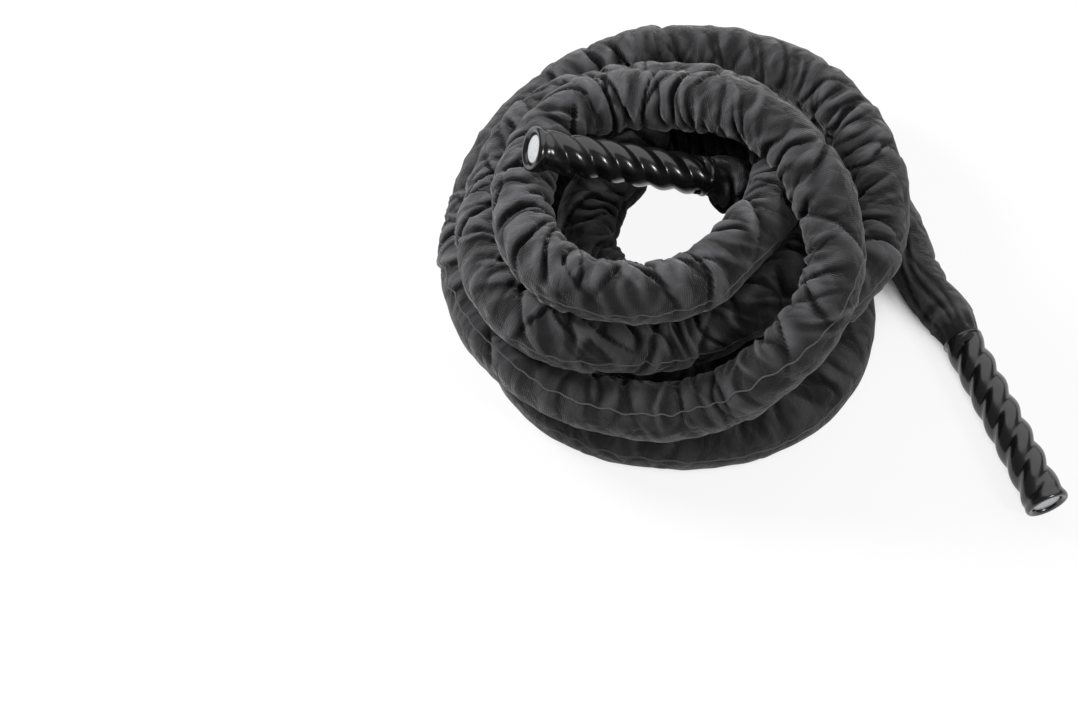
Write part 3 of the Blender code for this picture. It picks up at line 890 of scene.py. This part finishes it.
def declare_cord(sleeve, line, seam):
    """Attaches one length of the rope's sleeve, with the seam that is sewn along it, to the root body.
    """
    for piece in (sleeve, seam):
        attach(piece, "root")
    tuple(line[0])
    float(lengths_along(line)[-1])


def ridge_height(tree, given, axes):
    """How far each point of the tube is lifted, from its angle, its height and its ridge share."""
    angle = add_node(tree, "ShaderNodeMath", {0: axes["Y"], 1: axes["X"]}, operation="ARCTAN2")
    turned = add_node(tree, "ShaderNodeMath", {0: axes["Z"], 1: 2 * math.pi}, operation="MULTIPLY")
    twist = add_node(
        tree, "ShaderNodeMath", {0: turned.outputs[0], 1: given["Strand Lay"]}, operation="DIVIDE"
    )
    from_twist = add_node(
        tree, "ShaderNodeMath", {0: angle.outputs[0], 1: twist.outputs[0]}, operation="SUBTRACT"
    )
    phase = add_node(
        tree,
        "ShaderNodeMath",
        {0: from_twist.outputs[0], 1: given["Strand Count"]},
        operation="MULTIPLY",
    )
    wave = add_node(tree, "ShaderNodeMath", {0: phase.outputs[0]}, operation="COSINE")
    share = add_node(
        tree, "ShaderNodeMath", {0: wave.outputs[0], 1: 0.5, 2: 0.5}, operation="MULTIPLY_ADD"
    )
    # A power below one makes the ridges round and the grooves between them narrow
    roundness = 0.58
    rounded = add_node(
        tree, "ShaderNodeMath", {0: share.outputs[0], 1: roundness}, operation="POWER"
    )
    # The grooves lie 1.25 ridge heights below the plain tube and the ridges stand 0.75 above it
    swing = 2.0
    lowest = -1.25
    lifted = add_node(
        tree,
        "ShaderNodeMath",
        {0: rounded.outputs[0], 1: swing, 2: lowest},
        operation="MULTIPLY_ADD",
    )
    weight = add_node(
        tree, "GeometryNodeInputNamedAttribute", {"Name": "ridge_share"}, data_type="FLOAT"
    )
    weighted = add_node(
        tree,
        "ShaderNodeMath",
        {0: lifted.outputs[0], 1: weight.outputs["Attribute"]},
        operation="MULTIPLY",
    )
    height = add_node(
        tree,
        "ShaderNodeMath",
        {0: weighted.outputs[0], 1: given["Ridge Height"]},
        operation="MULTIPLY",
    )
    return height.outputs[0]


def ridge_tree():
    """Lifts a turned tube into twisted ridges, as the strands inside it do."""
    tree, given = new_tree("strand_ridges", ("Ridge Height", "Strand Lay", "Strand Count"))
    place = add_node(tree, "GeometryNodeInputPosition").outputs["Position"]
    axes = add_node(tree, "ShaderNodeSeparateXYZ", {"Vector": place}).outputs
    sideways = add_node(tree, "ShaderNodeCombineXYZ", {"X": axes["X"], "Y": axes["Y"]})
    out = add_node(
        tree, "ShaderNodeVectorMath", {0: sideways.outputs["Vector"]}, operation="NORMALIZE"
    )
    offset = add_node(
        tree,
        "ShaderNodeVectorMath",
        {"Vector": out.outputs["Vector"], "Scale": ridge_height(tree, given, axes)},
        operation="SCALE",
    )
    moved = add_node(
        tree,
        "GeometryNodeSetPosition",
        {"Geometry": given["Geometry"], "Offset": offset.outputs["Vector"]},
    )
    close_tree(tree, given, moved.outputs["Geometry"])
    return tree


def grip_rows():
    """The shrunk tube's closed section: height, radius and share of the ridges at each point."""
    neck_end = GRIP_LENGTH - LIP_LENGTH
    lip_edge = 0.0012
    flare = LIP_RADIUS - lip_edge - GRIP_RADIUS
    swell = ROOT_RADIUS - GRIP_RADIUS
    # The ridges rise over the root blend and sink over the lip blend, where the tube flares out
    first_height = 0.004
    root_lead = 0.002
    root_blend = 0.014
    lip_lead = 0.006
    lip_blend = 0.016
    flare_lead = 0.022
    flare_blend = 0.024
    outer = []
    for height in np.arange(first_height, neck_end, GRIP_STEP):
        past_root = ease((height + root_lead) / root_blend)
        share = past_root * ease((neck_end + lip_lead - height) / lip_blend)
        flared = flare * ease((height - neck_end + flare_lead) / flare_blend)
        swollen = swell * (1 - past_root)
        outer.append((height, GRIP_RADIUS + flared + swollen, share))
    root = [
        (0.0012, ROOT_RADIUS - GRIP_WALL, 0.0),
        (0.0002, ROOT_RADIUS - 0.0014, 0.0),
        (0.0001, ROOT_RADIUS - 0.0008, 0.0),
        (0.0008, ROOT_RADIUS - 0.0002, 0.0),
        (0.0022, ROOT_RADIUS, 0.2),
    ]
    lip_shape = (
        (-0.0105, -0.0012), (-0.0085, -0.0005), (-0.0062, 0.0), (-0.0040, 0.0), (-0.0020, -0.0005),
        (-0.0007, -0.0014), (-0.0001, -0.0027), (0.0, -0.0042), (-0.0004, -0.0058),
        (-0.0013, -0.0074), (-0.0026, -0.0087), (-0.0042, -0.0095), (-0.0062, -0.0098),
        (-0.0066, -0.0105), (-0.0067, -0.0125), (-0.0072, -0.0127), (-0.0076, -0.0110),
    )
    lip = [(GRIP_LENGTH + along, LIP_RADIUS + out, 0.0) for along, out in lip_shape]
    inner = [(height, radius - GRIP_WALL, share) for height, radius, share in outer[::-1]]
    return root + outer + lip + inner


def disc_rows():
    """The end disc's section, slightly domed, from the middle of its face to that of its back."""
    face = GRIP_LENGTH - DISC_RECESS
    edge = DISC_RADIUS
    return [
        (face + 0.0005, 0.0, 0.0),
        (face + 0.0004, edge * 0.45, 0.0),
        (face + 0.0001, edge * 0.8, 0.0),
        (face - 0.0001, edge - 0.0010, 0.0),
        (face - 0.0003, edge - 0.0004, 0.0),
        (face - 0.0008, edge, 0.0),
        (face - DISC_THICKNESS, edge, 0.0),
        (face - DISC_THICKNESS, 0.0, 0.0),
    ]


def turned_piece(name, rows, closed):
    """A piece turned round the Z axis from rows of height, radius and ridge share."""
    builder = bmesh.new()
    ridge_share = builder.verts.layers.float.new("ridge_share")
    rings = []
    for height, radius, share in rows:
        count = GRIP_SIDES if radius > 0 else 1
        ring = []
        for side in range(count):
            angle = 2 * math.pi * side / GRIP_SIDES
            corner = builder.verts.new((radius * math.cos(angle), radius * math.sin(angle), height))
            corner[ridge_share] = share
            ring.append(corner)
        rings.append(ring)
    pairs = list(zip(rings, rings[1:]))
    if closed:
        pairs.append((rings[-1], rings[0]))
    for first, second in pairs:
        for side in range(GRIP_SIDES):
            after = (side + 1) % GRIP_SIDES
            corners = [first[side % len(first)], first[after % len(first)]]
            corners += [second[after % len(second)], second[side % len(second)]]
            builder.faces.new(list(dict.fromkeys(corners)))
    bmesh.ops.recalc_face_normals(builder, faces=builder.faces)
    mesh = bpy.data.meshes.new(name)
    builder.to_mesh(mesh)
    builder.free()
    mesh.shade_smooth()
    return add_object(name, mesh)


def stand_along(mesh, root, way):
    """Places a mesh made along local Z with its root at root and its far end towards way."""
    side = unit(np.cross(UP, way))
    top = np.cross(way, side)
    turned = Matrix([[side[i], top[i], way[i]] for i in range(len(way))])
    mesh.transform(Matrix.Translation(root) @ turned.to_4x4())


def make_handle(letter, root, way, ridges, shrink, disc_finish):
    """One hand grip's shrunk tube, ridged by the strands under it, and its end disc."""
    grip = turned_piece("shrunk_grip_" + letter, grip_rows(), closed=True)
    sizes = {
        "Material": shrink,
        "Ridge Height": RIDGE_HEIGHT,
        "Strand Lay": STRAND_LAY,
        "Strand Count": float(STRANDS),
    }
    run_tree(grip, ridges, sizes)
    disc = turned_piece("capped_end_" + letter, disc_rows(), closed=False)
    disc.data.materials.append(disc_finish)
    for piece, node, finish_slot in ((grip, "grip_", "grip"), (disc, "end_disc_", "disc")):
        stand_along(piece.data, root, way)
        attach(piece, "root")
        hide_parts(node + letter)


def from_hex(code):
    """An sRGB hex colour as linear red, green, blue and alpha."""
    channels = [int(code[i : i + 2], 16) / 255 for i in (1, 3, 5)]
    linear = [c / 12.92 if c <= 0.04045 else ((c + 0.055) / 1.055) ** 2.4 for c in channels]
    return (*linear, 1.0)


def new_material(name):
    """A material of this name, its node tree and its shader."""
    material = bpy.data.materials.new(name)
    material.use_nodes = True
    tree = material.node_tree
    return material, tree, tree.nodes["Principled BSDF"]


def cloth_colour_with_painted_shade(tree, yarn):
    """Charcoal, with painted shade black in the folds, a painted highlight on crests and the yarns'
    grain.
    """
    # The relief in metres at which the painted shade is blackest and the painted highlight palest
    lowest = -0.0030
    highest = 0.0023
    relief = add_node(tree, "ShaderNodeAttribute", attribute_name="relief")
    height = add_node(
        tree, "ShaderNodeMapRange", {0: relief.outputs["Fac"], 1: lowest, 2: highest}
    )
    # Painted shade at the deep end of the ramp, charcoal in the middle, painted highlight at the high
    # end
    tone = add_node(tree, "ShaderNodeValToRGB", {"Fac": height.outputs[0]})
    painted_shade_stops = tone.color_ramp.elements
    painted_shade_stops[0].color = from_hex("#09090a")
    painted_shade_stops[1].color = from_hex("#525254")
    middle = painted_shade_stops.new(0.5)
    middle.color = from_hex("#242425")
    # Factors that darken and lighten the tone
    darker = (0.62, 0.62, 0.62, 1.0)
    lighter = (1.38, 1.38, 1.38, 1.0)
    yarn_tone = add_node(
        tree, "ShaderNodeMix", {0: yarn, 6: darker, 7: lighter}, data_type="RGBA"
    )
    color = add_node(
        tree,
        "ShaderNodeMix",
        {0: 1.0, 6: tone.outputs["Color"], 7: yarn_tone.outputs[2]},
        data_type="RGBA",
        blend_type="MULTIPLY",
    )
    return color.outputs[2]


def cloth_normal(tree, cloth, yarn):
    """The cloth's fine shape, from flat facets and crumples down to its ribs and yarns."""
    # Facets and crumples are longer round the rope than along it
    stretched = add_node(
        tree, "ShaderNodeMapping", {"Vector": cloth, "Scale": (0.65, 1.0, 1.0)}
    ).outputs["Vector"]
    facets = add_node(
        tree,
        "ShaderNodeTexVoronoi",
        {"Vector": stretched, "Scale": FACETS_PER_METRE, "Randomness": 1.0},
        feature="DISTANCE_TO_EDGE",
    )
    crumple = add_node(
        tree,
        "ShaderNodeTexNoise",
        {"Vector": stretched, "Scale": CRUMPLES_PER_METRE, "Detail": 2.0, "Roughness": 0.45,
         "Lacunarity": 2.0, "Distortion": 0.5},
        noise_type="RIDGED_MULTIFRACTAL",
    )
    wrinkle = add_node(
        tree,
        "ShaderNodeTexNoise",
        {"Vector": cloth, "Scale": WRINKLES_PER_METRE, "Detail": 2.0, "Distortion": 0.4},
    )
    ribs = add_node(
        tree,
        "ShaderNodeTexWave",
        {"Vector": stretched, "Scale": 1 / RIB_PITCH / math.pi, "Distortion": 1.4, "Detail": 2.0,
         "Detail Scale": 40.0},
        bands_direction="Y",
    )
    # Height, strength and depth of each layer
    layers = (
        (facets.outputs["Distance"], 0.8, 0.0070),
        (crumple.outputs["Fac"], 1.0, 0.0036),
        (wrinkle.outputs["Fac"], 0.8, 0.0013),
        (ribs.outputs["Fac"], 0.8, 0.0004),
        (yarn, 0.8, 0.0006),
    )
    normal = None
    for texture, strength, distance in layers:
        sockets = {"Height": texture, "Strength": strength, "Distance": distance}
        if normal:
            sockets["Normal"] = normal
        normal = add_node(tree, "ShaderNodeBump", sockets).outputs["Normal"]
    return normal


def woven_nylon():
    """Woven nylon with a fine cross rib: matt, with a soft sheen along its edges."""
    material, tree, shader = new_material("woven_nylon")
    cloth = add_node(tree, "ShaderNodeUVMap", uv_map="UVMap").outputs["UV"]
    # Yarns are about 0.5 mm thick, drawn twice as coarse so that they show as a grain
    yarn = add_node(
        tree, "ShaderNodeTexNoise", {"Vector": cloth, "Scale": YARNS_PER_METRE, "Detail": 3.0}
    ).outputs["Fac"]
    # The base colour carries painted shade in the folds and a painted highlight on the crests
    tree.links.new(cloth_colour_with_painted_shade(tree, yarn), shader.inputs["Base Color"])
    tree.links.new(cloth_normal(tree, cloth, yarn), shader.inputs["Normal"])
    shader.inputs["Roughness"].default_value = 0.85
    shader.inputs["Specular IOR Level"].default_value = 0.25
    shader.inputs["Sheen Weight"].default_value = 0.35
    shader.inputs["Sheen Roughness"].default_value = 0.4
    return material


def grained(name, cells, detail, dark, light, roughness):
    """A material whose colour varies between two over a grain of so many cells a metre."""
    material, tree, shader = new_material(name)
    place = add_node(tree, "ShaderNodeTexCoord").outputs["Object"]
    grain = add_node(
        tree, "ShaderNodeTexNoise", {"Vector": place, "Scale": cells, "Detail": detail}
    )
    tone = add_node(
        tree,
        "ShaderNodeMix",
        {0: grain.outputs["Fac"], 6: from_hex(dark), 7: from_hex(light)},
        data_type="RGBA",
    )
    tree.links.new(tone.outputs[2], shader.inputs["Base Color"])
    shader.inputs["Roughness"].default_value = roughness
    return material


def sewing_thread():
    """Nylon thread and binding of the seam: a little paler than the cloth, grained by its twist."""
    return grained(
        "nylon_thread", cells=900.0, detail=2.0, dark="#2c2c2d", light="#656567", roughness=0.6
    )


def heat_shrink():
    """Black polyolefin heat-shrink tube, drawn tight over the strands: glossy, with hazy patches."""
    material, tree, shader = new_material("heat_shrink_tube")
    shader.inputs["Base Color"].default_value = from_hex("#121213")
    shader.inputs["IOR"].default_value = 1.7
    place = add_node(tree, "ShaderNodeTexCoord").outputs["Object"]
    # The patches are some 17 mm long
    haze = add_node(
        tree, "ShaderNodeTexNoise", {"Vector": place, "Scale": 60.0, "Detail": 3.0}
    ).outputs["Fac"]
    clearest = 0.17
    haziest = 0.28
    rough = add_node(tree, "ShaderNodeMapRange", {0: haze, 3: clearest, 4: haziest})
    tree.links.new(rough.outputs[0], shader.inputs["Roughness"])
    ripple = add_node(
        tree, "ShaderNodeBump", {"Height": haze, "Strength": 0.25, "Distance": 0.0015}
    )
    tree.links.new(ripple.outputs["Normal"], shader.inputs["Normal"])
    return material


def end_disc_plastic():
    """Moulded pale styrene: glossy, and a little cloudy."""
    return grained(
        "pale_styrene", cells=220.0, detail=2.0, dark="#8f9193", light="#b4b6b8", roughness=0.25
    )


def polyester_fibre():
    """Black polyester rope fibre: matt, its fibres drawn coarse enough to show."""
    return grained(
        "polyester_fibre", cells=700.0, detail=3.0, dark="#1d1c1b", light="#343230", roughness=0.8
    )


def binding_tape():
    """Black PVC tape round the cut ends: satin, with a grain of 2.5 mm."""
    material, tree, shader = new_material("pvc_tape")
    place = add_node(tree, "ShaderNodeTexCoord").outputs["Object"]
    grain = add_node(tree, "ShaderNodeTexNoise", {"Vector": place, "Scale": 400.0})
    dent = add_node(tree, "ShaderNodeBump", {"Height": grain.outputs["Fac"], "Distance": 0.0003})
    tree.links.new(dent.outputs["Normal"], shader.inputs["Normal"])
    shader.inputs["Base Color"].default_value = from_hex("#202020")
    shader.inputs["Roughness"].default_value = 0.5
    return material


def make_camera(shift):
    """The photograph's camera, with the coil's axis where the photograph has it."""
    data = bpy.data.cameras.new("camera")
    camera = add_object("camera", data)
    target = Vector((shift[0], shift[1], VIEW_HEIGHT))
    back = Vector((0.0, -math.cos(VIEW_ELEVATION), math.sin(VIEW_ELEVATION)))
    camera.location = target + back * VIEW_DISTANCE
    camera.rotation_euler = (-back).to_track_quat("-Z", "Y").to_euler()
    data.sensor_width = 36.0
    data.lens = data.sensor_width * VIEW_DISTANCE / (PICTURE_WIDTH * METRES_PER_PIXEL)
    data.shift_x = (PICTURE_WIDTH / 2 - COIL_AXIS_PIXEL[0]) / PICTURE_WIDTH
    data.shift_y = (COIL_AXIS_PIXEL[1] - PICTURE_HEIGHT / 2) / PICTURE_WIDTH
    data.clip_end = 50.0
    bpy.context.scene.camera = camera


def floor_whiteness(tree, shift):
    """How nearly plain white each place of the floor is: least in narrow gaps, most in the hole."""
    gap_reach = 0.25
    gap_sky = 0.12
    open_sky = 0.30
    whitest_floor = 0.88
    sky = add_node(tree, "ShaderNodeAmbientOcclusion", {"Distance": gap_reach}, samples=8)
    whitened = add_node(
        tree,
        "ShaderNodeMapRange",
        {0: sky.outputs["AO"], 1: gap_sky, 2: open_sky, 4: whitest_floor},
    )
    hole_edge = 0.15
    hole_inside = 0.12
    whitest_hole = 0.92
    place = add_node(tree, "ShaderNodeTexCoord").outputs["Object"]
    middle = (shift[0], shift[1] + COIL_HOLE_OFFSET, 0.0)
    from_hole = add_node(
        tree, "ShaderNodeVectorMath", {0: place, 1: middle}, operation="DISTANCE"
    )
    in_hole = add_node(
        tree,
        "ShaderNodeMapRange",
        {0: from_hole.outputs["Value"], 1: hole_edge, 2: hole_inside, 4: whitest_hole},
    )
    white = add_node(
        tree, "ShaderNodeMath", {0: whitened.outputs[0], 1: in_hole.outputs[0]}, operation="MAXIMUM"
    )
    return white.outputs[0]


def floor_material(shift):
    """Matt white paper floor, which the camera and mirrorings see as nearly plain white.

    The rope's shadow shows faintly on open floor, fully in narrow gaps and hardly in the coil's hole.
    """
    material, tree, shader = new_material("white_floor")
    shader.inputs["Base Color"].default_value = from_hex("#f4f4f4")
    shader.inputs["Roughness"].default_value = 0.9
    plain = add_node(tree, "ShaderNodeEmission", {"Color": from_hex("#ffffff"), "Strength": 1.0})
    rays = add_node(tree, "ShaderNodeLightPath").outputs
    direct = add_node(
        tree,
        "ShaderNodeMath",
        {0: rays["Is Camera Ray"], 1: rays["Is Glossy Ray"]},
        operation="MAXIMUM",
    )
    share = add_node(
        tree,
        "ShaderNodeMath",
        {0: direct.outputs[0], 1: floor_whiteness(tree, shift)},
        operation="MULTIPLY",
    )
    seen = add_node(
        tree,
        "ShaderNodeMixShader",
        {0: share.outputs[0], 1: shader.outputs["BSDF"], 2: plain.outputs["Emission"]},
    )
    tree.links.new(seen.outputs["Shader"], tree.nodes["Material Output"].inputs["Surface"])
    return material


def add_lamp(name, place, size, power, mirrored):
    """A round soft lamp aimed at the coil; one that isn't mirrored leaves no highlight."""
    data = bpy.data.lights.new(name, "AREA")
    data.shape = "DISK"
    data.size = size
    data.energy = power
    lamp = add_object(name, data)
    lamp.location = place
    lamp.rotation_euler = (-Vector(place)).to_track_quat("-Z", "Y").to_euler()
    lamp.visible_glossy = mirrored


def make_world():
    """A world that the camera sees as white, and that lights the object only a little."""
    lighting = 0.08
    reflected = 0.15
    world = bpy.data.worlds.new("studio")
    bpy.context.scene.world = world
    world.use_nodes = True
    tree = world.node_tree
    background = tree.nodes["Background"]
    rays = add_node(tree, "ShaderNodeLightPath").outputs
    unseen = add_node(
        tree, "ShaderNodeMapRange", {0: rays["Is Glossy Ray"], 3: lighting, 4: reflected}
    )
    strength = add_node(
        tree,
        "ShaderNodeMath",
        {0: rays["Is Camera Ray"], 1: unseen.outputs[0]},
        operation="MAXIMUM",
    )
    tree.links.new(strength.outputs[0], background.inputs["Strength"])
    background.inputs["Color"].default_value = from_hex("#ffffff")


def make_studio(shift):
    """The camera, a white floor, three soft lamps and a white world."""
    floor_size = 12.0
    below_rope = -0.0005
    bpy.ops.mesh.primitive_plane_add(size=floor_size, location=(0.0, 0.0, below_rope))
    floor = bpy.context.object
    floor.name = "studio_floor"
    floor.data.materials.append(floor_material(shift))
    make_camera(shift)
    for lamp in LAMPS:
        add_lamp(*lamp)
    make_world()
    bpy.context.scene.view_settings.view_transform = "Standard"


def dress_rope(centres, turns, grips):
    """The sleeve from grip to grip with its seam.

    The one rope is declared as two cords that meet, one for each length of the drawn sleeve.
    """
    sleeve, seam_line = make_sleeve(RopeFrames(centres), turns, grips, woven_nylon())
    sewn = seam_tree()
    thread = sewing_thread()
    held = math.ceil((NECK_LENGTH + NECK_TAPER / 3) / FINE_RING_STEP)
    for piece, (name, rings) in zip(sleeve, sleeve_lengths(turns)):
        inside = range(*rings.indices(len(turns)))
        open_rings = [ring for ring in inside if held <= ring < len(turns) - held]
        seam = make_seam(name.replace("sleeve", "seam"), seam_line[open_rings], sewn, thread)
        declare_cord(piece, centres[rings], seam)
    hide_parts("sleeve_tail")
    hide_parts("sleeve_coil", "sleeve_top_end")


def dress_grips(grips):
    """Both hand grips and their discs."""
    ridges = ridge_tree()
    shrink = heat_shrink()
    styrene = end_disc_plastic()
    for letter, (root, way) in zip("ab", grips):
        make_handle(letter, root, way, ridges, shrink, styrene)


def finish_inside(nodes):
    """The rope, its strands and their tape keep the solids' shapes and get their real finishes."""
    fibre = polyester_fibre()
    finishes = {"rope_core": fibre, "strand": fibre, "end_tape": binding_tape()}
    for name, node in nodes.items():
        for start, finish in finishes.items():
            if name.startswith(start):
                node.data.materials.clear()
                node.data.materials.append(finish)


def main():
    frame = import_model()
    lying, lying_turns = floor_and_coil()
    grips = grip_places(lying)
    shift = frame_shift(*grips[1])
    grips = [(root + shift, way) for root, way in grips]
    centres, turns = rope_line(lying, lying_turns, shift)
    dress_rope(centres, turns, grips)
    dress_grips(grips)
    finish_inside(frame["nodes"])
    make_studio(shift)


main()
